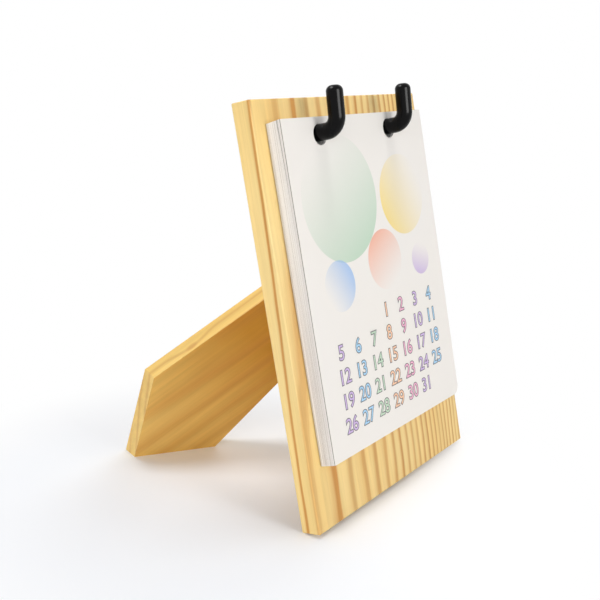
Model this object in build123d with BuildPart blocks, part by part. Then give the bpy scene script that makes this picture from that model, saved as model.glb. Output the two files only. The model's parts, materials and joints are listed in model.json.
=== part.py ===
from build123d import *

import os
from math import cos, radians, sin, tan

# Desk calendar: a leaning board, a pad of sheets on two L-shaped hooks, and a folding leg behind.
# Millimetres, +Z up, +Y to the back, +X to the right as seen from the front.
# The origin is on the floor, under the middle of the whole object.

# Board
board_width = 148.0
board_height = 210.0
board_thickness = 11.0
board_lean = 11.2  # degrees back from upright
board_edge_ease = 0.6

# Hooks: a round bar out of the board, bent up at its end
bar_diameter = 8.3
bar_below_board_top = 18.6
hook_spacing = 63.0
hooks_left_of_middle = 4.4
hook_reach = 20.0
hook_rise = 20.6
hook_forward_lean = 4.0  # degrees off the board, towards the front
hook_bend_radius = 7.0
hook_tip_round_share = 0.36
shank_diameter = 5.0
shank_length = 8.0
shank_bite = 0.1

# Pad of sheets: a cover, one stack of weekly sheets for each month, and a stiff back card
sheet_width = 128.0
sheet_height = 166.2
sheet_flip_corner_radius = 5.0
sheet_top_above_bar = 6.9  # at the back card
pad_trim_slant = 6.0  # degrees that the trimmed edges rise towards the front
punch_diameter = 10.5
punch_headroom = 0.25
cover_thickness = 0.3
weekly_sheet_thickness = 0.115
weekly_sheet_air = 0.01
month_gap = 0.08
cover_gap = 0.3
back_card_thickness = 0.6
pad_to_board_gap = 0.4
pad_left_of_middle = 1.1
four_week_sheet_count = 4
five_week_sheet_count = 5
five_week_months = ("january", "april", "july", "october", "december")
month_names = (
    "january",
    "february",
    "march",
    "april",
    "may",
    "june",
    "july",
    "august",
    "september",
    "october",
    "november",
    "december",
)

# Leg: a plank that swings out on a slanting hinge line and stands on a level cut
leg_thickness = 12.0
leg_opening = 46.5  # degrees between the plank and the board's back
leg_line_slope = 48.0  # degrees of the hinge line below the board's width
leg_line_right = 18.6
leg_line_height = 122.4
leg_root_width = 36.0
leg_upper_flare = 1.0  # degrees
leg_lower_flare = 12.3  # degrees
leg_upper_length = 135.0
leg_end_cut = 40.5  # degrees from the plank's run to the end cut
leg_end_bevel = 12.2  # degrees that the end cut leans off square
leg_edge_ease = 0.5
leg_stop_gap = 0.1

# Hinge of the leg
leaf_width = 30.0
leaf_length = 14.0
leaf_thickness = 1.0
pin_diameter = 2.0
pin_play = 0.05
knuckle_side_play = 0.25
middle_knuckle_share = 0.4
leaf_screw_share = 0.62
leaf_screw_spacing = 18.0
screw_diameter = 2.6
screw_length = 8.0
screw_head_diameter = 4.8
screw_bite = 0.3
screw_slot_width = 0.6
screw_slot_depth = 0.5
countersink_angle = 90.0

# One overrun serves every cut and every blank that is trimmed later
overrun = 40.0

# Directions of the leaning board
lean = radians(board_lean)
right = Vector(1, 0, 0)
forward = Vector(0, -cos(lean), sin(lean))
up_board = Vector(0, sin(lean), cos(lean))
backward = forward * -1

# The board's back face: x to the right, y up the board, z out towards the pad.
# Its rounded back edge touches the floor.
heel_lift = board_edge_ease * (cos(lean) + sin(lean) - 1)
board_back = Plane(origin=(0, 0, -heel_lift), x_dir=right, z_dir=forward)
bar_height = board_height - bar_below_board_top
pad_middle = -pad_left_of_middle
hooks_middle = -hooks_left_of_middle
hook_places = (hooks_middle - hook_spacing / 2, hooks_middle + hook_spacing / 2)

# Directions of the leg's hinge: down the board, along the pin, along the plank, out of the plank
slope = radians(leg_line_slope)
opening = radians(leg_opening)
hinge_down = right * -sin(slope) - up_board * cos(slope)
hinge_along = right * cos(slope) - up_board * sin(slope)
leg_run = hinge_down * cos(opening) + backward * sin(opening)
leg_normal = backward * cos(opening) - hinge_down * sin(opening)

# The knuckle touches the board's back and the plank's face, so the pin stands off both alike
knuckle_radius = pin_diameter / 2 + leaf_thickness
pin_from_corner = knuckle_radius / tan(opening / 2)
leg_corner = board_back.from_local_coords(Vector(leg_line_right, leg_line_height, 0))
pin_middle = leg_corner + hinge_down * pin_from_corner + backward * knuckle_radius
leg_face = Plane(origin=leg_corner, x_dir=hinge_along, z_dir=leg_normal)
board_leaf_plane = Plane(origin=pin_middle, x_dir=hinge_down, z_dir=hinge_along)
leg_leaf_plane = Plane(origin=pin_middle, x_dir=leg_run, z_dir=hinge_along)
screw_from_pin = leaf_length * leaf_screw_share
screw_places = (-leaf_screw_spacing / 2, leaf_screw_spacing / 2)
pilot_diameter = screw_diameter - screw_bite
middle_knuckle = leaf_width * middle_knuckle_share
side_knuckle = (leaf_width - middle_knuckle) / 2

# Where each layer of the pad starts, measured out from the board's back
weekly_sheet_pitch = weekly_sheet_thickness + weekly_sheet_air
sheet_middle = bar_height + sheet_top_above_bar - sheet_height / 2
punch_height = bar_height + bar_diameter / 2 + punch_headroom - punch_diameter / 2


def board_leaf_screw_spots():
    """Places of the board leaf's screws on the board's back, in its own x and y."""
    spots = []
    for place in screw_places:
        spot = pin_middle + hinge_down * screw_from_pin + hinge_along * place
        local = board_back.to_local_coords(spot)
        spots.append((local.X, local.Y))
    return spots


def make_board():
    """The leaning board, drilled for the hooks and for the hinge's screws."""
    with BuildPart() as board:
        with BuildSketch(board_back):
            with Locations((0, board_height / 2)):
                Rectangle(board_width, board_height)
        extrude(amount=board_thickness)
        fillet(board.edges(), radius=board_edge_ease)
        with BuildSketch(board_back.offset(board_thickness)):
            with Locations(*[(place, bar_height) for place in hook_places]):
                Circle((shank_diameter - shank_bite) / 2)
        extrude(amount=-shank_length, mode=Mode.SUBTRACT)
        with BuildSketch(board_back):
            with Locations(*board_leaf_screw_spots()):
                Circle(pilot_diameter / 2)
        extrude(amount=screw_length - leaf_thickness, mode=Mode.SUBTRACT)
    board.part.label = "board"
    return board.part


def make_hook(label, place):
    """A round bar that comes straight out of the board and bends up, with a domed tip."""
    root = board_back.from_local_coords(Vector(place, bar_height, board_thickness))
    side = Plane(origin=root, x_dir=forward, z_dir=right * -1)
    tip_reach = hook_reach + hook_rise * tan(radians(hook_forward_lean))
    with BuildPart() as hook:
        with BuildLine(side):
            FilletPolyline((0, 0), (hook_reach, 0), (tip_reach, hook_rise), radius=hook_bend_radius)
        with BuildSketch(Plane(origin=root, x_dir=right, z_dir=forward)):
            Circle(bar_diameter / 2)
        sweep()
        tip_edge = hook.edges().filter_by(GeomType.CIRCLE).sort_by(Axis(root, up_board))[-1]
        fillet(tip_edge, radius=bar_diameter * hook_tip_round_share)
        with BuildSketch(Plane(origin=root, x_dir=right, z_dir=backward)):
            Circle(shank_diameter / 2)
        extrude(amount=shank_length)
    hook.part.label = label
    return hook.part


def trim_rise(start):
    """How much higher than the back card a sheet is trimmed that starts this far out from the board's back."""
    return (start - board_thickness - pad_to_board_gap) * tan(radians(pad_trim_slant))


def make_sheets(label, start, count, thickness):
    """A stack of loose punched sheets with a rounded corner to flip them by; start is how far its back
    lies out from the board's back."""
    with BuildPart() as sheets:
        for index in range(count):
            sheet_start = start + index * weekly_sheet_pitch
            with BuildSketch(board_back.offset(sheet_start)):
                with Locations((pad_middle, sheet_middle + trim_rise(sheet_start))):
                    Rectangle(sheet_width, sheet_height)
                flip_corner = vertices().group_by(Axis.Y)[0].sort_by(Axis.X)[-1]
                fillet(flip_corner, radius=sheet_flip_corner_radius)
                with Locations(*[(place, punch_height) for place in hook_places]):
                    Circle(punch_diameter / 2, mode=Mode.SUBTRACT)
            extrude(amount=thickness)
    sheets.part.label = label
    return sheets.part


def sheets_in(month):
    """How many weekly sheets a month has."""
    return five_week_sheet_count if month in five_week_months else four_week_sheet_count


def make_pad():
    """The whole pad from the board outwards: back card, december to january, cover."""
    start = board_thickness + pad_to_board_gap
    layers = [make_sheets("back_card", start, 1, back_card_thickness)]
    start += back_card_thickness
    for month in reversed(month_names):
        start += month_gap
        layers.append(make_sheets(month + "_sheets", start, sheets_in(month), weekly_sheet_thickness))
        start += sheets_in(month) * weekly_sheet_pitch - weekly_sheet_air
    layers.append(make_sheets("cover_sheet", start + cover_gap, 1, cover_thickness))
    return layers


def make_leg():
    """The plank, trimmed to the board's back, to the floor and at its outer end."""
    upper_edge = -leg_root_width / 2
    lower_edge = leg_root_width / 2
    upper_lean = tan(radians(leg_upper_flare))
    lower_lean = tan(radians(leg_lower_flare))
    blank_start = -leg_thickness / tan(opening) - overrun
    blank_end = leg_upper_length + leg_root_width + overrun
    tip = leg_face.from_local_coords(Vector(upper_edge - leg_upper_length * upper_lean, leg_upper_length, 0))
    cut = radians(leg_end_cut)
    bevel = radians(leg_end_bevel)
    end_out = hinge_along * -cos(cut) + leg_run * sin(cut)
    with BuildPart() as leg:
        with BuildSketch(leg_face):
            with BuildLine():
                Polyline(
                    (upper_edge - blank_start * upper_lean, blank_start),
                    (upper_edge - blank_end * upper_lean, blank_end),
                    (lower_edge + blank_end * lower_lean, blank_end),
                    (lower_edge + blank_start * lower_lean, blank_start),
                    close=True,
                )
            make_face()
        extrude(amount=leg_thickness)
        fillet(leg.edges().filter_by(lambda edge: edge.length > blank_end), radius=leg_edge_ease)
        split(bisect_by=Plane(origin=board_back.origin + backward * leg_stop_gap, z_dir=backward), keep=Keep.TOP)
        split(bisect_by=Plane.XY, keep=Keep.TOP)
        end_normal = end_out * cos(bevel) - leg_normal * sin(bevel)
        split(bisect_by=Plane(origin=tip, z_dir=end_normal), keep=Keep.BOTTOM)
        with BuildSketch(leg_face):
            with Locations(*[(place, pin_from_corner + screw_from_pin) for place in screw_places]):
                Circle(pilot_diameter / 2)
        extrude(amount=screw_length - leaf_thickness, mode=Mode.SUBTRACT)
    leg.part.label = "leg"
    return leg.part


def make_leaf(label, plane, seat_side, own_knuckles, other_knuckles):
    """One hinge leaf. Its plate lies on the wood at seat_side (-1 or 1) times the knuckle's radius."""
    low = min(seat_side * knuckle_radius, seat_side * (knuckle_radius - leaf_thickness))
    plate_middle = low + leaf_thickness / 2
    notch = knuckle_radius + knuckle_side_play
    with BuildPart() as leaf:
        with BuildSketch(plane.offset(-leaf_width / 2)):
            with Locations((leaf_length / 2, plate_middle)):
                Rectangle(leaf_length, leaf_thickness)
        extrude(amount=leaf_width)
        for middle, width in other_knuckles:
            with BuildSketch(plane.offset(middle - width / 2 - knuckle_side_play)):
                Circle(notch)
            extrude(amount=width + 2 * knuckle_side_play, mode=Mode.SUBTRACT)
        for middle, width in own_knuckles:
            with BuildSketch(plane.offset(middle - width / 2)):
                Circle(knuckle_radius)
            extrude(amount=width)
        with BuildSketch(plane.offset(-leaf_width / 2)):
            Circle(pin_diameter / 2 + pin_play)
        extrude(amount=leaf_width, mode=Mode.SUBTRACT)
        outside = Plane(
            origin=plane.origin + plane.y_dir * seat_side * (knuckle_radius - leaf_thickness),
            x_dir=plane.z_dir,
            z_dir=plane.y_dir * -seat_side,
        )
        across = screw_from_pin * outside.y_dir.dot(plane.x_dir)
        with Locations(outside):
            with Locations(*[(place, across) for place in screw_places]):
                CounterSinkHole(screw_diameter / 2, screw_head_diameter / 2, None, countersink_angle)
    leaf.part.label = label
    return leaf.part


def make_leaf_screws(label, plane, seat_side):
    """The countersunk wood screws of one leaf, flush with its plate."""
    head_depth = (screw_head_diameter - screw_diameter) / 2 / tan(radians(countersink_angle / 2))
    into_wood = plane.y_dir * seat_side
    with BuildPart() as screws:
        for place in screw_places:
            top = (
                plane.origin
                + plane.x_dir * screw_from_pin
                + plane.z_dir * place
                + into_wood * (knuckle_radius - leaf_thickness)
            )
            section = Plane(origin=top, x_dir=plane.x_dir, z_dir=plane.x_dir.cross(into_wood))
            with BuildSketch(section):
                with BuildLine():
                    Polyline(
                        (0, 0),
                        (screw_head_diameter / 2, 0),
                        (screw_diameter / 2, head_depth),
                        (screw_diameter / 2, screw_length - screw_diameter),
                        (0, screw_length),
                        close=True,
                    )
                make_face()
            revolve(axis=Axis(top, into_wood))
            with BuildSketch(Plane(origin=top, x_dir=plane.x_dir, z_dir=into_wood)):
                Rectangle(screw_diameter, screw_slot_width)
                Rectangle(screw_slot_width, screw_diameter)
            extrude(amount=screw_slot_depth, mode=Mode.SUBTRACT)
    screws.part.label = label
    return screws.part


def make_pin():
    """The hinge's pin, as long as its knuckles."""
    with BuildPart() as pin:
        with BuildSketch(board_leaf_plane.offset(-leaf_width / 2)):
            Circle(pin_diameter / 2)
        extrude(amount=leaf_width)
    pin.part.label = "hinge_pin"
    return pin.part


outer_middle = (middle_knuckle + side_knuckle) / 2
outer_knuckles = ((-outer_middle, side_knuckle), (outer_middle, side_knuckle))
inner_knuckles = ((0, middle_knuckle - 2 * knuckle_side_play),)
pieces = [
    make_board(),
    make_hook("left_hook", hook_places[0]),
    make_hook("right_hook", hook_places[1]),
    *make_pad(),
    make_leg(),
    make_leaf("hinge_board_leaf", board_leaf_plane, -1, outer_knuckles, inner_knuckles),
    make_leaf("hinge_leg_leaf", leg_leaf_plane, 1, inner_knuckles, outer_knuckles),
    make_pin(),
    make_leaf_screws("hinge_board_screws", board_leaf_plane, -1),
    make_leaf_screws("hinge_leg_screws", leg_leaf_plane, 1),
]

# The origin goes under the middle of the whole object
boxes = [piece.bounding_box() for piece in pieces]
middle_across = (min(box.min.X for box in boxes) + max(box.max.X for box in boxes)) / 2
middle_deep = (min(box.min.Y for box in boxes) + max(box.max.Y for box in boxes)) / 2
to_origin = Location((-middle_across, -middle_deep, 0))

os.makedirs("parts", exist_ok=True)
for piece in pieces:
    placed = piece.moved(to_origin)
    placed.label = piece.label
    export_step(placed, "parts/" + piece.label + ".step")
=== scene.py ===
"""Looks of the desk calendar: pine board and leg, black hooks, a pad of sheets and a small studio."""
import json
import math
import random
from typing import NamedTuple

import bmesh
import bpy
from bpy.props import FloatProperty, FloatVectorProperty, IntProperty, PointerProperty
from mathutils import Euler, Matrix, Vector


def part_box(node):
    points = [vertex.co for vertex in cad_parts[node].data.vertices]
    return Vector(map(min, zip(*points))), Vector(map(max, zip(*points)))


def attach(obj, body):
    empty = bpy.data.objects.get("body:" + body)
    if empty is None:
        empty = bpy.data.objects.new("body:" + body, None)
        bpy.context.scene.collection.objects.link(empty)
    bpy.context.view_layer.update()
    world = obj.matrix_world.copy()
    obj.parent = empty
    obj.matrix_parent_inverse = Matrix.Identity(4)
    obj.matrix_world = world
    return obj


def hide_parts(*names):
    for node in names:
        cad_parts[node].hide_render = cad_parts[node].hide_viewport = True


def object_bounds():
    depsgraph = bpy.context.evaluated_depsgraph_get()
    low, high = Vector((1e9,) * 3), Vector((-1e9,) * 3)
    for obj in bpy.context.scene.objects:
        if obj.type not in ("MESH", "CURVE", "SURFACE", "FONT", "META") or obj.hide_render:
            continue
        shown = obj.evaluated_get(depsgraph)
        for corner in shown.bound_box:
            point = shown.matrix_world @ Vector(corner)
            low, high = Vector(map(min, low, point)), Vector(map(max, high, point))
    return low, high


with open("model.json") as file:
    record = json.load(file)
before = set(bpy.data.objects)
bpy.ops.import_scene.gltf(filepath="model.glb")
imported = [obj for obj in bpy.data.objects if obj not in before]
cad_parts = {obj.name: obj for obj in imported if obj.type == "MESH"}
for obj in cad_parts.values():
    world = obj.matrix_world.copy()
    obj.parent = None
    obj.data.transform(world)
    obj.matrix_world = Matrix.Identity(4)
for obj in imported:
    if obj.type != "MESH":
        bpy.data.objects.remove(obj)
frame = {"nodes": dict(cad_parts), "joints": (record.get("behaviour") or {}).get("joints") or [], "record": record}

bl_info = {
    "name": "Desk calendar looks",
    "version": (1, 0, 0),
    "blender": (4, 5, 0),
    "location": "View3D > Sidebar > Calendar",
    "description": "Finishes the pine, the hooks and the pad of a desk calendar, and lights it",
    "category": "Object",
}

MILLIMETRE = 0.001
RIGHT = Vector((1, 0, 0))

# The rough ways that the board's front and the leg's upper face look, and how nearly their faces have to
BOARD_FRONT = Vector((0, -1, 0))
LEG_FACE = Vector((0.5, 0.8, 0.3))
FACING_SHARE = 0.9

cad_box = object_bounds()
nodes = frame["nodes"]
bodies = frame["record"]["behaviour"]["bodies"]
body_of_node = {node: body for body, group in bodies.items() for node in group}
sheet_nodes = sorted(name for name in nodes if name.endswith("_sheets"))
hook_nodes = ("left_hook", "right_hook")
hinge_nodes = ("hinge_board_leaf", "hinge_leg_leaf", "hinge_pin", "hinge_board_screws", "hinge_leg_screws")


def face_normal(node, rough):
    """The mean normal of a node's faces that look about the rough way."""
    total = Vector((0, 0, 0))
    for face in nodes[node].data.polygons:
        if face.normal.dot(rough) > FACING_SHARE:
            total += face.normal * face.area
    return total.normalized()


def reach(node, direction):
    """The lowest and the highest place of a node along a direction."""
    places = [vertex.co.dot(direction) for vertex in nodes[node].data.vertices]
    return min(places), max(places)


def spread(node, axes):
    """The lowest and the highest corner of a node in the given axes."""
    spans = [reach(node, axis) for axis in axes]
    return [low for low, high in spans], [high for low, high in spans]


def from_axes(axes, places):
    """The point at the given places along three square axes."""
    return axes[0] * places[0] + axes[1] * places[1] + axes[2] * places[2]


# The board's own axes: to the right, up the board and out of its front
forward = face_normal("board", BOARD_FRONT)
up_board = forward.cross(RIGHT)
board_axes = (RIGHT, up_board, forward)
board_low, board_high = spread("board", board_axes)
board_origin = from_axes(board_axes, ((board_low[0] + board_high[0]) / 2, board_low[1], board_high[2]))

# The leg's own axes: along the hinge, along the plank and out of its upper face
leg_joint = next(joint for joint in frame["joints"] if joint["name"] == "leg_fold")
hinge_along = -Vector(leg_joint["axis"])
leg_normal = face_normal("leg", LEG_FACE)
leg_run = leg_normal.cross(hinge_along)
leg_axes = (hinge_along, leg_run, leg_normal)
leg_low = spread("leg", leg_axes)[0]
leg_origin = from_axes(leg_axes, leg_low)

# The cover's front: its middle, in the board's axes
cover_low, cover_high = spread("cover_sheet", board_axes)
cover_middle = ((cover_low[0] + cover_high[0]) / 2, (cover_low[1] + cover_high[1]) / 2, cover_high[2])
cover_origin = from_axes(board_axes, cover_middle)


class PineTone:
    """Colours that the planks share."""
    late_wood: FloatVectorProperty(
        name="Late wood", description="Colour of the dark wood", subtype="COLOR", default=(0.57, 0.25, 0.05))
    # Painted shade: a darker, warmer colour for the broad faces of a plank that lie in shade
    face_wood: FloatVectorProperty(
        name="Face wood", description="Colour of a flat-sawn face",
        subtype="COLOR", default=(0.53, 0.238, 0.021))
    knot_wood: FloatVectorProperty(
        name="Knot wood", description="Colour of a knot's middle",
        subtype="COLOR", default=(0.66, 0.33, 0.085))


class BoardCut(PineTone, bpy.types.PropertyGroup):
    """How the board was cut from its log."""
    early_wood: FloatVectorProperty(
        name="Early wood", description="Colour of the pale wood",
        subtype="COLOR", default=(0.885, 0.685, 0.315))
    warm_wood: FloatVectorProperty(
        name="Warm wood", description="Colour that drifts through the pale wood", subtype="COLOR",
        default=(0.885, 0.625, 0.24))
    pith_across: FloatProperty(
        name="Pith across", description="Place of the log's middle across the board, in millimetres",
        default=-100.0)
    pith_depth: FloatProperty(
        name="Pith depth", description="How far the log's middle lies under the front, in millimetres",
        default=110.0)
    ring_width: FloatProperty(
        name="Ring width", description="Width of a year's growth near the pith, in millimetres", default=6.1)
    ring_shift: FloatProperty(
        name="Ring shift", description="How many rings the pattern is moved outwards", default=0.45)
    softness: FloatProperty(
        name="Softness", description="How gently the dark wood fades in and out",
        default=0.15, subtype="FACTOR")
    quiet_radius: FloatProperty(
        name="Quiet radius", description="Radius of a year that hardly shows, in millimetres", default=99.5)
    crowding_start: FloatProperty(
        name="Crowding start", description="Radius where the rings begin to narrow, in millimetres",
        default=136.0)
    crowding: FloatProperty(
        name="Crowding", description="Extra rings per square millimetre of radius past that start",
        default=0.00127)
    waviness: FloatProperty(
        name="Waviness", description="How far the rings wander along the plank, in millimetres", default=1.4)
    run_out: FloatProperty(
        name="Run-out", description="How much the grain leaves the face along the plank", default=-0.031)
    contrast: FloatProperty(
        name="Contrast", description="How strongly the dark wood shows", default=1.0, subtype="FACTOR")
    # How much painted shade the broad faces take, and how much less of it at the far end (none on the board)
    face_warmth: FloatProperty(
        name="Face warmth", description="How much the broad faces take on the face wood", default=0.0,
        subtype="FACTOR")
    face_fade: FloatProperty(
        name="Face fade", description="How much of that warmth is lost at the far end",
        default=0.0, subtype="FACTOR")
    knot_strength: FloatProperty(
        name="Knot strength", description="How strongly the knot shows", default=0.0, subtype="FACTOR")


class LegCut(PineTone, bpy.types.PropertyGroup):
    """How the leg was cut from its log."""
    early_wood: FloatVectorProperty(
        name="Early wood", description="Colour of the pale wood",
        subtype="COLOR", default=(0.90, 0.64, 0.215))
    warm_wood: FloatVectorProperty(
        name="Warm wood", description="Colour that drifts through the pale wood", subtype="COLOR",
        default=(0.90, 0.585, 0.165))
    pith_across: FloatProperty(
        name="Pith across", description="Place of the log's middle across the leg, in millimetres",
        default=-8.0)
    pith_depth: FloatProperty(
        name="Pith depth", description="How far the log's middle lies under the face, in millimetres",
        default=62.0)
    ring_width: FloatProperty(
        name="Ring width", description="Width of a year's growth near the pith, in millimetres", default=7.6)
    ring_shift: FloatProperty(
        name="Ring shift", description="How many rings the pattern is moved outwards", default=0.2)
    softness: FloatProperty(
        name="Softness", description="How gently the dark wood fades in and out",
        default=0.5, subtype="FACTOR")
    quiet_radius: FloatProperty(
        name="Quiet radius", description="Radius of a year that hardly shows, in millimetres", default=0.0)
    crowding_start: FloatProperty(
        name="Crowding start", description="Radius where the rings begin to narrow, in millimetres",
        default=200.0)
    crowding: FloatProperty(
        name="Crowding", description="Extra rings per square millimetre of radius past that start",
        default=0.0)
    waviness: FloatProperty(
        name="Waviness", description="How far the rings wander along the plank, in millimetres", default=1.5)
    run_out: FloatProperty(
        name="Run-out", description="How much the grain leaves the face along the plank", default=0.035)
    contrast: FloatProperty(
        name="Contrast", description="How strongly the dark wood shows", default=0.58, subtype="FACTOR")
    # How much painted shade the broad faces take, and how much less of it at the far end, where it gives way to
    # painted light
    face_warmth: FloatProperty(
        name="Face warmth", description="How much the broad faces take on the face wood", default=0.91,
        subtype="FACTOR")
    face_fade: FloatProperty(
        name="Face fade", description="How much of that warmth is lost at the far end", default=0.56,
        subtype="FACTOR")
    knot_strength: FloatProperty(
        name="Knot strength", description="How strongly the knot shows", default=0.75, subtype="FACTOR")


class CalendarLooks(bpy.types.PropertyGroup):
    """Colours and sizes that a user would change."""
    coating: FloatVectorProperty(
        name="Coating", description="Colour of the hooks", subtype="COLOR", default=(0.0008, 0.0007, 0.0009))
    paper: FloatVectorProperty(
        name="Paper", description="Colour of the sheets", subtype="COLOR", default=(0.845, 0.82, 0.795))
    # Paper shade: painted shade between the sheets' edges, and the darker fibres of the paper
    paper_shade: FloatVectorProperty(
        name="Paper shade", description="Colour between the sheets' edges", subtype="COLOR",
        default=(0.50, 0.47, 0.45))
    # Parting shade: colour of the painted shadow line where the pad parts
    parting_shade: FloatVectorProperty(
        name="Parting shade", description="Colour where the pad parts",
        subtype="COLOR", default=(0.16, 0.15, 0.14))
    # Paper edge: paler than the paper itself, painted light on the sheets' cut edges
    paper_edge: FloatVectorProperty(
        name="Paper edge", description="Colour of the sheets' cut edges", subtype="COLOR",
        default=(0.94, 0.925, 0.922))
    card: FloatVectorProperty(
        name="Card", description="Colour of the back card", subtype="COLOR", default=(0.48, 0.45, 0.40))
    steel: FloatVectorProperty(
        name="Steel", description="Colour of the hinge", subtype="COLOR", default=(0.62, 0.61, 0.58))
    ink: FloatVectorProperty(
        name="Ink", description="Colour of the numbers' outlines",
        subtype="COLOR", default=(0.07, 0.065, 0.075))
    sheet_stray: FloatProperty(
        name="Sheet stray", description="How far a sheet may lie out of its neighbour's side",
        default=0.00003,
        subtype="DISTANCE", unit="LENGTH")
    sheet_swell: FloatProperty(
        name="Sheet swell", description="How much each face of a sheet bulges into the air next to it",
        default=0.000003, subtype="DISTANCE", unit="LENGTH")
    stack_swell: FloatProperty(
        name="Stack swell", description="How much the outer faces of a month bulge into the air",
        default=0.00003,
        subtype="DISTANCE", unit="LENGTH")
    stray_seed: IntProperty(
        name="Stray seed", description="Start of the draw that shuffles the sheets", default=7)
    number_height: FloatProperty(
        name="Number height", description="Height of a date on the cover", default=0.0078,
        subtype="DISTANCE", unit="LENGTH")
    number_step: FloatProperty(
        name="Number step", description="Distance between the dates of a week", default=0.0150,
        subtype="DISTANCE", unit="LENGTH")
    week_step: FloatProperty(
        name="Week step", description="Distance between the weeks", default=0.0122,
        subtype="DISTANCE", unit="LENGTH")
    floor_size: FloatProperty(
        name="Floor size", description="Side of the floor", default=6.0, subtype="DISTANCE", unit="LENGTH")
    focal_length: FloatProperty(
        name="Focal length", description="The camera's lens on a 36 mm sensor, in millimetres", default=53.50)


class Grain(NamedTuple):
    """A noise: how often it changes per millimetre along each axis, its detail and its roughness."""
    stretch: tuple
    detail: float
    roughness: float = 0.5


def even(size):
    """The same size along all three axes."""
    return (size, size, size)


# Blender's mix node has sockets of the same name, so they go by number
MIX_SHARE = 0
MIX_NUMBERS = (2, 3)
MIX_COLOURS = (6, 7)
MIXED_COLOUR = 2

# Where a ramp's new stop waits for its place, a noise's middle, and how squarely a sheet's faces look out
NEW_STOP = 0.5
NOISE_MIDDLE = 0.5
SHEET_FACE = ((0.3, 0.0), (0.7, 1.0))


class Paint:
    """A material's node tree, with short calls that hand back sockets."""

    def __init__(self, name):
        self.material = bpy.data.materials.new(name)
        self.material.use_nodes = True
        self.nodes = self.material.node_tree.nodes
        self.links = self.material.node_tree.links
        self.nodes.clear()

    def add(self, kind, **settings):
        node = self.nodes.new(kind)
        for key, value in settings.items():
            setattr(node, key, value)
        return node

    def feed(self, socket, value):
        if isinstance(value, bpy.types.NodeSocket):
            self.links.new(value, socket)
        elif socket.type == "RGBA":
            socket.default_value = (*value, 1.0)
        else:
            socket.default_value = value

    def math(self, operation, *values, clamp=False):
        node = self.add("ShaderNodeMath", operation=operation, use_clamp=clamp)
        for socket, value in zip(node.inputs, values):
            self.feed(socket, value)
        return node.outputs[0]

    def mix(self, share, first, second, blend="MIX"):
        node = self.add("ShaderNodeMix", data_type="RGBA", blend_type=blend)
        self.feed(node.inputs[MIX_SHARE], share)
        for number, colour in zip(MIX_COLOURS, (first, second)):
            self.feed(node.inputs[number], colour)
        return node.outputs[MIXED_COLOUR]

    def ramp(self, value, stops, interpolation="LINEAR"):
        """A grey ramp through (place, level) stops."""
        node = self.add("ShaderNodeValToRGB")
        node.color_ramp.interpolation = interpolation
        elements = node.color_ramp.elements
        while len(elements) < len(stops):
            elements.new(NEW_STOP)
        for element, (place, level) in zip(elements, stops):
            element.position = place
            element.color = (level, level, level, 1.0)
        self.feed(node.inputs[0], value)
        return node.outputs[0]

    def noise(self, vector, grain):
        node = self.add("ShaderNodeTexNoise")
        self.feed(node.inputs["Vector"], self.stretch(vector, grain.stretch))
        self.feed(node.inputs["Scale"], 1.0)
        self.feed(node.inputs["Detail"], grain.detail)
        self.feed(node.inputs["Roughness"], grain.roughness)
        return node.outputs[0]

    def place(self, origin, axes):
        """Millimetres from the origin along the axes, fixed to the piece."""
        coordinates = self.add("ShaderNodeTexCoord")
        mapping = self.add("ShaderNodeMapping", vector_type="TEXTURE")
        self.links.new(coordinates.outputs["Object"], mapping.inputs["Vector"])
        mapping.inputs["Location"].default_value = origin
        mapping.inputs["Rotation"].default_value = Matrix(axes).transposed().to_euler()
        mapping.inputs["Scale"].default_value = even(MILLIMETRE)
        return mapping.outputs[0]

    def stretch(self, vector, scale):
        node = self.add("ShaderNodeVectorMath", operation="MULTIPLY")
        self.feed(node.inputs[0], vector)
        node.inputs[1].default_value = scale
        return node.outputs[0]

    def split(self, vector):
        node = self.add("ShaderNodeSeparateXYZ")
        self.feed(node.inputs[0], vector)
        return node.outputs

    def facing(self, direction):
        """How squarely the surface looks along a direction of the piece: 1, 0 or -1."""
        coordinates = self.add("ShaderNodeTexCoord")
        node = self.add("ShaderNodeVectorMath", operation="DOT_PRODUCT")
        self.links.new(coordinates.outputs["Normal"], node.inputs[0])
        node.inputs[1].default_value = direction
        return node.outputs["Value"]

    def cut_edge(self, direction):
        """1 on the cut edges of a sheet that faces along a direction, 0 on its faces."""
        square_on = self.math("ABSOLUTE", self.facing(direction))
        return self.math("SUBTRACT", 1.0, self.ramp(square_on, SHEET_FACE))

    def surface(self, colour, roughness, height, bump, **sockets):
        """The shader itself, with a bump of the given depth in metres and strength."""
        shader = self.add("ShaderNodeBsdfPrincipled")
        self.feed(shader.inputs["Base Color"], colour)
        self.feed(shader.inputs["Roughness"], roughness)
        for name, value in sockets.items():
            self.feed(shader.inputs[name.replace("_", " ")], value)
        depth, strength = bump
        relief = self.add("ShaderNodeBump")
        relief.inputs["Strength"].default_value = strength
        relief.inputs["Distance"].default_value = depth
        self.feed(relief.inputs["Height"], height)
        self.links.new(relief.outputs[0], shader.inputs["Normal"])
        output = self.add("ShaderNodeOutputMaterial")
        self.links.new(shader.outputs[0], output.inputs["Surface"])
        return self.material


def dress(piece, material):
    """The piece wears this one material."""
    piece.data.materials.clear()
    piece.data.materials.append(material)


# A knot near a plank's upper edge: its place in millimetres, its shape and how it fades out from its middle
KNOT_PLACE = (0.0, 119.0, 3.5)
KNOT_STRETCH = (0.045, 0.05, 0.09)
KNOT_BULGE = ((0.0, 1.0), (1.0, 0.0))
KNOT_CORE = ((0.08, 0.8), (0.26, 0.0))
KNOT_LIFT = 5.0

# Waves that the year rings follow, and how far each swings, times the waviness
SLOW_WAVE = Grain((0.012, 0.009, 0.012), 1.0)
SLOW_SWING = 6.0
QUICK_WAVE = Grain((0.06, 0.018, 0.06), 2.0)
QUICK_SWING = 1.6

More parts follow.
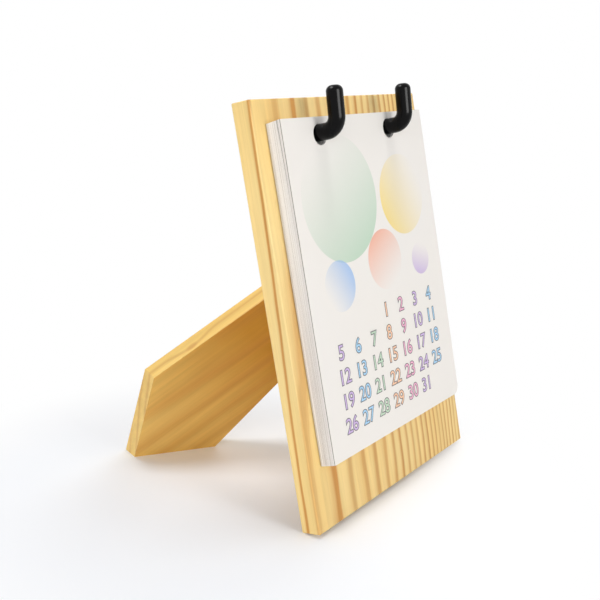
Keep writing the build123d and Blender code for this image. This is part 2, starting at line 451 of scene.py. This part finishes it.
# How dark the wood is from the start of a year to its end: a sharply coloured year and a gently coloured one
SHARP_SEASON = (
    (0.0, 0.55), (0.04, 0.10), (0.10, 0.0), (0.52, 0.03),
    (0.68, 0.40), (0.78, 0.95), (0.94, 1.0), (1.0, 0.55),
)
SOFT_SEASON = ((0.0, 0.45), (0.22, 0.0), (0.75, 1.0), (1.0, 0.45))

# How the dark wood comes back on both sides of a quiet year, within this many millimetres
QUIET_WIDTH = 10.0
QUIET_RISE = ((0.25, 0.2), (0.55, 1.0))

# How squarely a broad face looks out, and the power that thins the dark lines on a plank's other faces
BROAD_FACE = ((0.6, 0.0), (0.9, 1.0))
THIN_LINES = 2.2

# How strongly the dark wood shows from year to year and patch to patch: the least, and what is added to it
YEAR_LEAST = 0.55
YEAR_SWING = 0.45
PATCH = Grain((0.05, 0.006, 0.05), 2.0)
PATCH_LEAST = 0.72
PATCH_SWING = 0.6

# Drift of colour through the pale wood, and how the painted shade on a broad face fades along this many
# millimetres
DRIFT = Grain((0.035, 0.008, 0.035), 3.0)
DRIFT_RISE = ((0.30, 0.0), (0.75, 1.0))
SHADE_FADE_LENGTH = 170.0
SHADE_FADE_RISE = ((0.52, 0.0), (0.80, 0.70), (1.0, 1.0))

# Fine fibres and long streaks that lighten and darken the wood, and its dark pores
FIBRE = Grain((2.4, 0.035, 2.4), 3.0, 0.6)
FIBRE_LEAST = 0.90
FIBRE_SWING = 0.20
STREAK = Grain((0.30, 0.010, 0.30), 2.0)
STREAK_SWING = 0.34
PORE = Grain((6.0, 0.11, 6.0), 1.0)
PORE_RISE = ((0.66, 0.0), (0.74, 1.0))
PORE_STRENGTH = 0.16

# The lacquered surface: roughness, with what fibres add and dark wood takes away, ridges, bump and mirroring
PINE_ROUGHNESS = 0.40
FIBRE_ROUGHNESS = 0.16
LATE_GLOSS = 0.08
LATE_RIDGE = 0.8
FIBRE_RIDGE = 0.6
PINE_BUMP = (0.00012, 0.35)
PINE_SPECULAR = 0.22


def pine_finish(name, cut, origin, axes):
    """Lacquered pine with year rings round the log's pith, fine fibres and a drift of colour."""
    paint = Paint(name)
    place = paint.place(origin, axes)
    across, along, out = paint.split(place)
    slow_wave = paint.math("SUBTRACT", paint.noise(place, SLOW_WAVE), NOISE_MIDDLE)
    quick_wave = paint.math("SUBTRACT", paint.noise(place, QUICK_WAVE), NOISE_MIDDLE)
    wander = paint.math("MULTIPLY", slow_wave, cut.waviness * SLOW_SWING)
    ripple = paint.math("MULTIPLY", quick_wave, cut.waviness * QUICK_SWING)
    from_pith = paint.math("ADD", paint.math("SUBTRACT", across, cut.pith_across), wander)
    leaving = paint.math("MULTIPLY", along, cut.run_out)
    depth = paint.math("ADD", paint.math("ADD", out, cut.pith_depth), leaving)
    square = paint.math("MULTIPLY_ADD", from_pith, from_pith, paint.math("MULTIPLY", depth, depth))
    radius = paint.math("ADD", paint.math("SQRT", square), ripple)
    knot = paint.add("ShaderNodeVectorMath", operation="DISTANCE")
    paint.feed(knot.inputs[0], paint.stretch(place, KNOT_STRETCH))
    knot.inputs[1].default_value = [spot * share for spot, share in zip(KNOT_PLACE, KNOT_STRETCH)]
    bulge = paint.ramp(knot.outputs["Value"], KNOT_BULGE, "EASE")
    radius = paint.math("MULTIPLY_ADD", bulge, KNOT_LIFT * cut.knot_strength, radius)
    past = paint.math("MAXIMUM", paint.math("SUBTRACT", radius, cut.crowding_start), 0.0)
    crowded = paint.math("MULTIPLY", paint.math("MULTIPLY", past, past), cut.crowding)
    rings = paint.math("ADD", paint.math("DIVIDE", radius, cut.ring_width), crowded)
    rings = paint.math("ADD", rings, cut.ring_shift)
    year = paint.math("FLOOR", rings)
    season = paint.math("FRACT", rings)
    late = paint.ramp(season, SHARP_SEASON)
    swing = paint.ramp(season, SOFT_SEASON, "EASE")
    late = paint.math("MULTIPLY_ADD", paint.math("SUBTRACT", swing, late), cut.softness, late)
    off_quiet = paint.math("ABSOLUTE", paint.math("SUBTRACT", radius, cut.quiet_radius))
    late = paint.math("MULTIPLY", late, paint.ramp(paint.math("DIVIDE", off_quiet, QUIET_WIDTH), QUIET_RISE))
    broad = paint.ramp(paint.math("ABSOLUTE", paint.facing(axes[2])), BROAD_FACE)
    thin = paint.math("POWER", late, THIN_LINES)
    late = paint.math("MULTIPLY_ADD", paint.math("SUBTRACT", late, thin), broad, thin)
    year_place = paint.add("ShaderNodeTexWhiteNoise", noise_dimensions="1D")
    paint.feed(year_place.inputs["W"], year)
    year_strength = paint.math("MULTIPLY_ADD", year_place.outputs[0], YEAR_SWING, YEAR_LEAST)
    patch_strength = paint.math("MULTIPLY_ADD", paint.noise(place, PATCH), PATCH_SWING, PATCH_LEAST)
    late = paint.math("MULTIPLY", paint.math("MULTIPLY", late, year_strength), cut.contrast, clamp=True)
    late = paint.math("MULTIPLY", late, patch_strength, clamp=True)
    drift = paint.ramp(paint.noise(place, DRIFT), DRIFT_RISE)
    pale = paint.mix(drift, cut.early_wood, cut.warm_wood)
    # Painted shade: the broad faces take on the darker, warmer shade colour, with less of it towards the far end
    far_end = paint.ramp(paint.math("DIVIDE", along, SHADE_FADE_LENGTH), SHADE_FADE_RISE)
    face_shade = paint.math("MULTIPLY_ADD", far_end, -cut.face_fade, cut.face_warmth)
    pale = paint.mix(paint.math("MULTIPLY", broad, face_shade), pale, cut.face_wood)
    grain = paint.mix(late, pale, cut.late_wood)
    fibre = paint.noise(place, FIBRE)
    fibre_level = paint.math("MULTIPLY_ADD", fibre, FIBRE_SWING, FIBRE_LEAST)
    streak = paint.noise(place, STREAK)
    streak_level = paint.math("MULTIPLY_ADD", streak, STREAK_SWING, 1.0 - STREAK_SWING / 2)
    level = paint.math("MULTIPLY", fibre_level, streak_level)
    level_colour = paint.add("ShaderNodeCombineColor")
    for socket in level_colour.inputs:
        paint.feed(socket, level)
    colour = paint.mix(1.0, grain, level_colour.outputs[0], "MULTIPLY")
    pore = paint.ramp(paint.noise(place, PORE), PORE_RISE)
    colour = paint.mix(paint.math("MULTIPLY", pore, PORE_STRENGTH), colour, cut.late_wood)
    core = paint.ramp(knot.outputs["Value"], KNOT_CORE, "EASE")
    colour = paint.mix(paint.math("MULTIPLY", core, cut.knot_strength), colour, cut.knot_wood)
    smooth = paint.math("MULTIPLY_ADD", late, -LATE_GLOSS, PINE_ROUGHNESS)
    roughness = paint.math("MULTIPLY_ADD", fibre, FIBRE_ROUGHNESS, smooth)
    height = paint.math("MULTIPLY_ADD", late, LATE_RIDGE, paint.math("MULTIPLY", fibre, FIBRE_RIDGE))
    return paint.surface(colour, roughness, height, PINE_BUMP, Specular_IOR_Level=PINE_SPECULAR)


# The hooks' coating: its orange peel, the dust that lightens and dulls it, roughness, bump and mirroring
PEEL = Grain(even(0.9), 2.0)
DUST = Grain(even(0.25), 3.0)
DUST_LIGHTENING = 1.6
DUST_ROUGHNESS = 0.06
COATING_ROUGHNESS = 0.18
COATING_BUMP = (0.00006, 0.05)
COATING_SPECULAR = 0.12


def coating_finish(looks):
    """Glossy black coating with a faint orange peel."""
    paint = Paint("black_coating")
    place = paint.place(board_origin, board_axes)
    peel = paint.noise(place, PEEL)
    dust = paint.noise(place, DUST)
    lighter = tuple(level * DUST_LIGHTENING for level in looks.coating)
    colour = paint.mix(dust, looks.coating, lighter)
    roughness = paint.math("MULTIPLY_ADD", dust, DUST_ROUGHNESS, COATING_ROUGHNESS)
    return paint.surface(colour, roughness, peel, COATING_BUMP, Specular_IOR_Level=COATING_SPECULAR)


# A painted shadow line where the pad parts near its top: how deep behind the cover, how wide, and where it closes,
# in millimetres
PARTING_DEPTH = 2.3
PARTING_WIDTH = 0.34
PARTING_SLOPE = 0.03
PARTING_FADE = 83.0
PARTING_RISE = ((0.55, 0.0), (1.0, 0.95))

# The sheets: fibres of the paper, and thick and thin layers that show as lines of painted shade between the sheets
# on the pad's cut edges
PAPER_FIBRE = Grain(even(1.1), 4.0)
PAPER_FIBRE_STRENGTH = 0.10
THICK_LAYERS = Grain((0.0, 0.003, 3.1), 2.0, 0.65)
THICK_LAYERS_SHARE = 0.75
THIN_LAYERS = Grain((0.0, 0.01, 9.0), 1.0)
THIN_LAYERS_SHARE = 0.45
LAYERS_RISE = ((0.57, 0.0), (0.70, 1.0))
LAYERS_STRENGTH = 0.85
SHEET_ROUGHNESS = 0.86
SHEET_BUMP = (0.00004, 0.25)
SHEET_SPECULAR = 0.2


def sheet_finish(looks):
    """Uncoated white paper, with the layers of the stack showing on its edges as painted shade, and a painted
    shadow line where the pad parts.
    """
    paint = Paint("sheet_paper")
    place = paint.place(cover_origin, board_axes)
    fibre = paint.noise(place, PAPER_FIBRE)
    thick = paint.math("MULTIPLY", paint.noise(place, THICK_LAYERS), THICK_LAYERS_SHARE)
    lines = paint.math("MULTIPLY_ADD", paint.noise(place, THIN_LAYERS), THIN_LAYERS_SHARE, thick)
    lines = paint.math("MULTIPLY", paint.ramp(lines, LAYERS_RISE), LAYERS_STRENGTH)
    edge = paint.cut_edge(forward)
    along, out = paint.split(place)[1:]
    # Painted shadow: a dark line in the gap where the pad parts, strongest at the top and fading downwards
    below_top = paint.math("SUBTRACT", PARTING_FADE, along)
    closing = paint.math("MULTIPLY_ADD", below_top, -PARTING_SLOPE, PARTING_DEPTH)
    parting_shadow = paint.math("ABSOLUTE", paint.math("ADD", out, closing))
    parting_shadow = paint.ramp(parting_shadow, ((0.0, 1.0), (PARTING_WIDTH, 0.0)))
    upper = paint.ramp(paint.math("DIVIDE", along, PARTING_FADE), PARTING_RISE)
    parting_shadow = paint.math("MULTIPLY", parting_shadow, upper)
    plain = paint.mix(paint.math("MULTIPLY", fibre, PAPER_FIBRE_STRENGTH), looks.paper, looks.paper_shade)
    # Painted light: the cut edges take a paler copy of the paper
    plain = paint.mix(edge, plain, looks.paper_edge)
    # Painted shade: dark lines between the sheets on the cut edges
    layered = paint.mix(paint.math("MULTIPLY", lines, edge), plain, looks.paper_shade)
    colour = paint.mix(paint.math("MULTIPLY", parting_shadow, edge), layered, looks.parting_shade)
    return paint.surface(colour, SHEET_ROUGHNESS, fibre, SHEET_BUMP, Specular_IOR_Level=SHEET_SPECULAR)


# The back card: its pale flecks, roughness, bump and mirroring
FLECK = Grain(even(0.8), 5.0, 0.7)
FLECK_RISE = ((0.35, 0.0), (0.7, 1.0))
FLECK_LIGHTENING = 1.35
CARD_ROUGHNESS = 0.92
CARD_BUMP = (0.00005, 0.3)
CARD_SPECULAR = 0.15


def card_finish(looks):
    """Grey board of pressed scraps, paler where it was cut."""
    paint = Paint("grey_card")
    place = paint.place(cover_origin, board_axes)
    fleck = paint.noise(place, FLECK)
    lighter = tuple(min(1.0, level * FLECK_LIGHTENING) for level in looks.card)
    pale = paint.math("MAXIMUM", paint.ramp(fleck, FLECK_RISE), paint.cut_edge(forward))
    colour = paint.mix(pale, looks.card, lighter)
    return paint.surface(colour, CARD_ROUGHNESS, fleck, CARD_BUMP, Specular_IOR_Level=CARD_SPECULAR)


# The hinge: brush marks, a bloom that darkens the plating, roughness and bump
BRUSH = Grain((0.15, 6.0, 6.0), 3.0)
BRUSH_ROUGHNESS = 0.22
BLOOM = Grain(even(0.35), 2.0)
BLOOM_DARKENING = 0.72
STEEL_ROUGHNESS = 0.24
STEEL_BUMP = (0.00003, 0.25)


def steel_finish(looks):
    """Zinc-plated steel, brushed along the hinge."""
    paint = Paint("hinge_steel")
    place = paint.place(leg_origin, leg_axes)
    brush = paint.noise(place, BRUSH)
    darker = tuple(level * BLOOM_DARKENING for level in looks.steel)
    colour = paint.mix(paint.noise(place, BLOOM), looks.steel, darker)
    roughness = paint.math("MULTIPLY_ADD", brush, BRUSH_ROUGHNESS, STEEL_ROUGHNESS)
    return paint.surface(colour, roughness, brush, STEEL_BUMP, Metallic=1.0)


# Soft discs of the cover: place and radius as shares of the cover's half width, the turn of the fade, colour
COVER_DISCS = (
    ((-0.40, 0.66), 0.50, 300.0, (0.42, 0.62, 0.46)),
    ((0.50, 0.60), 0.34, 210.0, (0.88, 0.66, 0.12)),
    ((0.10, 0.10), 0.25, 120.0, (0.86, 0.36, 0.22)),
    ((-0.58, 0.00), 0.20, 30.0, (0.24, 0.46, 0.82)),
    ((0.66, 0.02), 0.14, 250.0, (0.52, 0.38, 0.70)),
)

# A disc's rim in millimetres, its strengths at full, rim, middle and least, and the power of its fade
DISC_RIM = 0.25
DISC_STRENGTH = 0.78
RIM_STRENGTH = 0.5
MIDDLE_STRENGTH = 0.5
LEAST_STRENGTH = 0.02
FADE_POWER = 1.3

# The cover's paper: its tooth, a slow warm tint, how squarely its front looks out, painted shade on its cut edge
# and its gloss
TOOTH = Grain(even(1.4), 3.0)
TOOTH_ROUGHNESS = 0.12
TINT = Grain(even(0.012), 1.0)
TINT_SHARES = (1.0, 0.985, 0.955)
COVER_FRONT = ((0.6, 0.0), (0.8, 1.0))
COVER_GAP_SHADE = (0.16, 0.14, 0.12)
COVER_GAP_SHADE_STRENGTH = 0.85
COVER_ROUGHNESS = 0.48
COVER_BUMP = (0.00002, 0.2)
COVER_SPECULAR = 0.3


def cover_finish(looks):
    """Coated paper with soft discs that fade across, painted shade on its cut edge and a plain back."""
    paint = Paint("cover_paper")
    place = paint.place(cover_origin, board_axes)
    across, along = paint.split(place)[:2]
    half_width = (cover_high[0] - cover_low[0]) / 2 / MILLIMETRE
    tooth = paint.noise(place, TOOTH)
    warm = tuple(level * share for level, share in zip(looks.paper, TINT_SHARES))
    colour = paint.mix(paint.noise(place, TINT), looks.paper, warm)
    front = paint.ramp(paint.facing(forward), COVER_FRONT)
    for (share_x, share_y), radius_share, turn, pastel in COVER_DISCS:
        east = paint.math("SUBTRACT", across, share_x * half_width)
        north = paint.math("SUBTRACT", along, share_y * half_width)
        square = paint.math("MULTIPLY_ADD", east, east, paint.math("MULTIPLY", north, north))
        radius = radius_share * half_width
        inside = paint.math("SUBTRACT", radius, paint.math("SQRT", square))
        mask = paint.math("MULTIPLY_ADD", inside, 1.0 / DISC_RIM, RIM_STRENGTH, clamp=True)
        ahead_x = math.cos(math.radians(turn)) / (2 * radius)
        ahead_y = math.sin(math.radians(turn)) / (2 * radius)
        fade = paint.math("MULTIPLY_ADD", north, ahead_y, MIDDLE_STRENGTH)
        fade = paint.math("MULTIPLY_ADD", east, ahead_x, fade)
        fade = paint.math("POWER", paint.math("MAXIMUM", fade, LEAST_STRENGTH), FADE_POWER)
        share = paint.math("MULTIPLY", paint.math("MULTIPLY", mask, fade), DISC_STRENGTH)
        colour = paint.mix(paint.math("MULTIPLY", share, front), colour, pastel)
    # Painted shade: the cut edge is darkened to stand for the shadow in the gap behind the cover
    edge = paint.cut_edge(forward)
    colour = paint.mix(paint.math("MULTIPLY", edge, COVER_GAP_SHADE_STRENGTH), colour, COVER_GAP_SHADE)
    roughness = paint.math("MULTIPLY_ADD", tooth, TOOTH_ROUGHNESS, COVER_ROUGHNESS)
    return paint.surface(colour, roughness, tooth, COVER_BUMP, Specular_IOR_Level=COVER_SPECULAR)


# Printing ink: its uneven grain, how far that goes towards white, roughness, bump and mirroring
INK_GRAIN = Grain(even(2.2), 3.0)
INK_FADING_SHARE = 0.14
INK_ROUGHNESS = 0.5
INK_BUMP = (0.00001, 0.15)
INK_SPECULAR = 0.3


def ink_finish(name, colour):
    """Printing ink that lies a little unevenly."""
    paint = Paint(name)
    place = paint.place(cover_origin, board_axes)
    grain = paint.noise(place, INK_GRAIN)
    lighter = tuple(level + (1.0 - level) * INK_FADING_SHARE for level in colour)
    uneven = paint.mix(grain, colour, lighter)
    return paint.surface(uneven, INK_ROUGHNESS, grain, INK_BUMP, Specular_IOR_Level=INK_SPECULAR)


# How much of its neighbour's stray a sheet keeps
STRAY_PULL = 0.7


def shuffled_stack(name, looks, draw):
    """A copy of a month's sheets in which each sheet strays a little from the pad's sides."""
    stack = bmesh.new()
    stack.from_mesh(nodes[name].data)
    waiting = set(stack.verts)
    islands = []
    while waiting:
        island = []
        edge_of_search = [waiting.pop()]
        while edge_of_search:
            vertex = edge_of_search.pop()
            island.append(vertex)
            for edge in vertex.link_edges:
                other = edge.other_vert(vertex)
                if other in waiting:
                    waiting.remove(other)
                    edge_of_search.append(other)
        islands.append(island)
    islands.sort(key=lambda island: min(vertex.co.dot(forward) for vertex in island))
    stray = Vector((0, 0, 0))
    for index, island in enumerate(islands):
        step = RIGHT * draw.uniform(-1, 1) + up_board * draw.uniform(-1, 1)
        stray = (stray + step * looks.sheet_stray) * STRAY_PULL
        middle = sum(vertex.co.dot(forward) for vertex in island) / len(island)
        back_swell = looks.sheet_swell if index else looks.stack_swell
        front_swell = looks.sheet_swell if index < len(islands) - 1 else looks.stack_swell
        for vertex in island:
            swell = front_swell if vertex.co.dot(forward) > middle else -back_swell
            vertex.co += stray + forward * swell
    mesh = bpy.data.meshes.new(name.replace("_sheets", "_stack"))
    stack.to_mesh(mesh)
    stack.free()
    return mesh


def add_piece(mesh, body):
    """A new object in the scene that rides on a body."""
    piece = bpy.data.objects.new(mesh.name, mesh)
    bpy.context.scene.collection.objects.link(piece)
    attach(piece, body)
    return piece


# The dates: a colour for each column in turn, the month's grid, and the ink's place and thickness in metres
NUMBER_COLOURS = (
    (0.58, 0.42, 0.72),
    (0.34, 0.60, 0.84),
    (0.50, 0.66, 0.50),
    (0.90, 0.54, 0.34),
    (0.84, 0.40, 0.58),
)
DAYS_IN_WEEK = 7
DAYS_IN_MONTH = 31
FIRST_DAY_COLUMN = 3
DIGIT_HEIGHT_SHARE = 0.73
OUTLINE_SHARE = 0.055
FILL_LIFT = 0.00006
OUTLINE_LIFT = 0.00003
INK_THICKNESS = 0.00002
GRID_RISE_SHARE = -0.24
CURVE_STEPS = 6


def number_mesh(text, size, outline):
    """The mesh of one number, centred on the origin, with its strokes widened by the outline."""
    curve = bpy.data.curves.new("number", "FONT")
    curve.body = text
    curve.size = size
    curve.align_x = "CENTER"
    curve.align_y = "CENTER"
    curve.offset = outline
    curve.extrude = INK_THICKNESS / 2
    curve.resolution_u = CURVE_STEPS
    holder = bpy.data.objects.new("number", curve)
    mesh = bpy.data.meshes.new_from_object(holder)
    bpy.data.objects.remove(holder)
    bpy.data.curves.remove(curve)
    return mesh


def print_numbers(name, looks, outline, lift):
    """All the dates of a month in rows, as one mesh on the cover's front."""
    rows = bmesh.new()
    size = looks.number_height / DIGIT_HEIGHT_SHARE
    turn = Matrix(board_axes).transposed().to_4x4()
    half_height = (cover_high[1] - cover_low[1]) / 2
    for day in range(1, DAYS_IN_MONTH + 1):
        week, column = divmod(day - 1 + FIRST_DAY_COLUMN, DAYS_IN_WEEK)
        east = (column - (DAYS_IN_WEEK - 1) / 2) * looks.number_step
        north = GRID_RISE_SHARE * half_height - week * looks.week_step
        spot = cover_origin + RIGHT * east + up_board * north + forward * lift
        mesh = number_mesh(str(day), size, outline)
        mesh.transform(Matrix.Translation(spot) @ turn)
        first_face = len(rows.faces)
        rows.from_mesh(mesh)
        rows.faces.ensure_lookup_table()
        for face in rows.faces[first_face:]:
            face.material_index = column % len(NUMBER_COLOURS)
        bpy.data.meshes.remove(mesh)
    joined = bpy.data.meshes.new(name)
    rows.to_mesh(joined)
    rows.free()
    return joined


class CALENDAR_OT_pine_board(bpy.types.Operator):
    """Finish the leaning board"""
    bl_idname = "calendar.pine_board"
    bl_label = "Pine board"

    def execute(self, context):
        material = pine_finish("pine_board", context.scene.calendar_board_cut, board_origin, board_axes)
        dress(nodes["board"], material)
        return {"FINISHED"}


class CALENDAR_OT_pine_leg(bpy.types.Operator):
    """Finish the leg"""
    bl_idname = "calendar.pine_leg"
    bl_label = "Pine leg"

    def execute(self, context):
        material = pine_finish("pine_leg", context.scene.calendar_leg_cut, leg_origin, leg_axes)
        dress(nodes["leg"], material)
        return {"FINISHED"}


class CALENDAR_OT_black_hooks(bpy.types.Operator):
    """Coat both hooks"""
    bl_idname = "calendar.black_hooks"
    bl_label = "Black hooks"

    def execute(self, context):
        material = coating_finish(context.scene.calendar_looks)
        for name in hook_nodes:
            dress(nodes[name], material)
        return {"FINISHED"}


class CALENDAR_OT_sheets(bpy.types.Operator):
    """Shuffle the months' sheets a little, and finish them and the back card"""
    bl_idname = "calendar.sheets"
    bl_label = "Sheets"

    def execute(self, context):
        looks = context.scene.calendar_looks
        draw = random.Random(looks.stray_seed)
        material = sheet_finish(looks)
        for name in sheet_nodes:
            piece = add_piece(shuffled_stack(name, looks, draw), body_of_node[name])
            dress(piece, material)
            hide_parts(name)
        dress(nodes["back_card"], card_finish(looks))
        return {"FINISHED"}


class CALENDAR_OT_cover(bpy.types.Operator):
    """Print the cover's soft discs"""
    bl_idname = "calendar.cover"
    bl_label = "Cover"

    def execute(self, context):
        dress(nodes["cover_sheet"], cover_finish(context.scene.calendar_looks))
        return {"FINISHED"}


class CALENDAR_OT_numbers(bpy.types.Operator):
    """Print the dates of a month on the cover"""
    bl_idname = "calendar.numbers"
    bl_label = "Dates"

    def execute(self, context):
        looks = context.scene.calendar_looks
        outline = looks.number_height * OUTLINE_SHARE
        outlines = print_numbers("date_outlines", looks, outline, OUTLINE_LIFT)
        edges = add_piece(outlines, "cover")
        dress(edges, ink_finish("outline_ink", looks.ink))
        fills = add_piece(print_numbers("date_numbers", looks, 0.0, FILL_LIFT), "cover")
        for index, colour in enumerate(NUMBER_COLOURS):
            fills.data.materials.append(ink_finish("number_ink_" + str(index + 1), colour))
        return {"FINISHED"}


class CALENDAR_OT_hinge(bpy.types.Operator):
    """Plate the hinge, its pin and its screws"""
    bl_idname = "calendar.hinge"
    bl_label = "Hinge"

    def execute(self, context):
        material = steel_finish(context.scene.calendar_looks)
        for name in hinge_nodes:
            dress(nodes[name], material)
        return {"FINISHED"}


# The camera, measured from the middle of the board's front bottom edge, and its turn in degrees
CAMERA_OFFSET = Vector((-0.3917, -0.2277, 0.2178))
CAMERA_PITCH = 75.68
CAMERA_YAW = -53.00
CAMERA_ROLL = -0.16

# Lamps: name, place from the object's middle, width and height in metres, watts, only in reflections or not
LAMPS = (
    ("front_lamp", Vector((-0.13, -1.10, 0.32)), 0.30, 0.46, 3.8, False),
    ("left_lamp", Vector((-1.12, -0.30, 0.26)), 1.30, 0.60, 7.3, False),
    ("right_lamp", Vector((1.00, 0.22, 0.58)), 0.90, 0.70, 5.0, False),
    ("top_lamp", Vector((0.02, -0.04, 1.06)), 0.32, 0.32, 4.8, False),
    ("streak_panel", Vector((-0.17, -1.10, 0.32)), 0.62, 0.62, 14.5, True),
    ("glint_panel", Vector((-0.42, 0.37, 1.05)), 0.55, 0.55, 13.0, True),
)
LAMP_COLOUR = (1.0, 0.995, 0.985)

# The sky's strength as a light, and its strength where it is seen
SKY_STRENGTH = 0.31
SKY_SEEN = 1.0

# The floor as it bounces light and as it is seen, and where its shadow fades into white, in metres
FLOOR_GREY = (0.80, 0.80, 0.80)
FLOOR_SEEN = (0.928, 0.953, 1.0)
SHADOW_MIDDLE = (-0.06, 0.0, 0.0)
SHADOW_REACH = 0.09
WHITE_REACH = 0.20


def floor_finish():
    """White floor that shows pale to the camera and still takes the shadow."""
    paint = Paint("white_floor")
    path = paint.add("ShaderNodeLightPath")
    seen = paint.math("MAXIMUM", path.outputs["Is Camera Ray"], path.outputs["Is Glossy Ray"])
    seen = paint.math("MAXIMUM", seen, path.outputs["Is Transmission Ray"])
    matte = paint.add("ShaderNodeBsdfDiffuse")
    paint.feed(matte.inputs["Color"], paint.mix(seen, FLOOR_GREY, FLOOR_SEEN))
    coordinates = paint.add("ShaderNodeTexCoord")
    away = paint.add("ShaderNodeVectorMath", operation="DISTANCE")
    paint.links.new(coordinates.outputs["Object"], away.inputs[0])
    away.inputs[1].default_value = SHADOW_MIDDLE
    far = paint.add("ShaderNodeMapRange", interpolation_type="SMOOTHSTEP")
    paint.links.new(away.outputs["Value"], far.inputs["Value"])
    far.inputs["From Min"].default_value = SHADOW_REACH
    far.inputs["From Max"].default_value = WHITE_REACH
    white = paint.add("ShaderNodeEmission")
    fading = paint.add("ShaderNodeMixShader")
    paint.links.new(paint.math("MULTIPLY", far.outputs[0], seen), fading.inputs[0])
    paint.links.new(matte.outputs[0], fading.inputs[1])
    paint.links.new(white.outputs[0], fading.inputs[2])
    output = paint.add("ShaderNodeOutputMaterial")
    paint.links.new(fading.outputs[0], output.inputs["Surface"])
    return paint.material


def light_sky(scene):
    """An even sky that is white to the camera and softer as a light."""
    world = bpy.data.worlds.new("studio_sky")
    world.use_nodes = True
    tree = world.node_tree
    tree.nodes.clear()
    path = tree.nodes.new("ShaderNodeLightPath")
    mirrored = tree.nodes.new("ShaderNodeMath")
    mirrored.operation = "MAXIMUM"
    tree.links.new(path.outputs["Is Glossy Ray"], mirrored.inputs[0])
    tree.links.new(path.outputs["Is Transmission Ray"], mirrored.inputs[1])
    seen = tree.nodes.new("ShaderNodeMath")
    seen.operation = "MAXIMUM"
    tree.links.new(path.outputs["Is Camera Ray"], seen.inputs[0])
    tree.links.new(mirrored.outputs[0], seen.inputs[1])
    strength = tree.nodes.new("ShaderNodeMix")
    for number, level in zip(MIX_NUMBERS, (SKY_STRENGTH, SKY_SEEN)):
        strength.inputs[number].default_value = level
    tree.links.new(seen.outputs[0], strength.inputs[MIX_SHARE])
    sky = tree.nodes.new("ShaderNodeBackground")
    sky.inputs["Color"].default_value = (1.0, 1.0, 1.0, 1.0)
    tree.links.new(strength.outputs[0], sky.inputs["Strength"])
    output = tree.nodes.new("ShaderNodeOutputWorld")
    tree.links.new(sky.outputs[0], output.inputs["Surface"])
    scene.world = world


class CALENDAR_OT_stage(bpy.types.Operator):
    """Lay the floor, hang the lamps and set the camera"""
    bl_idname = "calendar.stage"
    bl_label = "Stage"

    def execute(self, context):
        scene = context.scene
        looks = scene.calendar_looks
        low, high = (Vector(corner) for corner in cad_box)
        middle = (low + high) / 2
        half = looks.floor_size / 2
        mesh = bpy.data.meshes.new("floor")
        corners = [(-half, -half, low.z), (half, -half, low.z), (half, half, low.z), (-half, half, low.z)]
        mesh.from_pydata(corners, [], [(0, 1, 2, 3)])
        floor = bpy.data.objects.new("floor", mesh)
        scene.collection.objects.link(floor)
        dress(floor, floor_finish())
        for name, place, width, height, watts, only_mirrored in LAMPS:
            lamp = bpy.data.lights.new(name, "AREA")
            lamp.shape = "RECTANGLE"
            lamp.size = width
            lamp.size_y = height
            lamp.energy = watts
            lamp.color = LAMP_COLOUR
            holder = bpy.data.objects.new(name, lamp)
            holder.location = middle + place
            holder.rotation_euler = (-place).to_track_quat("-Z", "Y").to_euler()
            holder.visible_glossy = only_mirrored
            holder.visible_diffuse = not only_mirrored
            scene.collection.objects.link(holder)
        light_sky(scene)
        lens = bpy.data.cameras.new("camera")
        lens.lens = looks.focal_length
        camera = bpy.data.objects.new("camera", lens)
        board_foot = Vector((0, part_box("board")[0].y, board_origin.z))
        camera.location = board_foot + CAMERA_OFFSET
        aim = Euler((math.radians(CAMERA_PITCH), 0, math.radians(CAMERA_YAW))).to_matrix()
        camera.rotation_euler = (aim @ Matrix.Rotation(math.radians(CAMERA_ROLL), 3, "Z")).to_euler()
        scene.collection.objects.link(camera)
        scene.camera = camera
        scene.view_settings.view_transform = "Standard"
        return {"FINISHED"}


PIECES = (
    CALENDAR_OT_pine_board,
    CALENDAR_OT_pine_leg,
    CALENDAR_OT_black_hooks,
    CALENDAR_OT_sheets,
    CALENDAR_OT_cover,
    CALENDAR_OT_numbers,
    CALENDAR_OT_hinge,
    CALENDAR_OT_stage,
)


class CALENDAR_PT_panel(bpy.types.Panel):
    """The calendar's steps in order"""
    bl_idname = "CALENDAR_PT_panel"
    bl_label = "Desk calendar"
    bl_space_type = "VIEW_3D"
    bl_region_type = "UI"
    bl_category = "Calendar"

    def draw(self, context):
        for piece in PIECES:
            self.layout.operator(piece.bl_idname)


CLASSES = (BoardCut, LegCut, CalendarLooks, *PIECES, CALENDAR_PT_panel)


def register():
    for kind in CLASSES:
        bpy.utils.register_class(kind)
    bpy.types.Scene.calendar_board_cut = PointerProperty(type=BoardCut)
    bpy.types.Scene.calendar_leg_cut = PointerProperty(type=LegCut)
    bpy.types.Scene.calendar_looks = PointerProperty(type=CalendarLooks)


def unregister():
    del bpy.types.Scene.calendar_looks
    del bpy.types.Scene.calendar_leg_cut
    del bpy.types.Scene.calendar_board_cut
    for kind in reversed(CLASSES):
        bpy.utils.unregister_class(kind)


def main():
    register()
    bpy.ops.calendar.pine_board()
    bpy.ops.calendar.pine_leg()
    bpy.ops.calendar.black_hooks()
    bpy.ops.calendar.sheets()
    bpy.ops.calendar.cover()
    bpy.ops.calendar.numbers()
    bpy.ops.calendar.hinge()
    bpy.ops.calendar.stage()


if __name__ == "__main__":
    main()
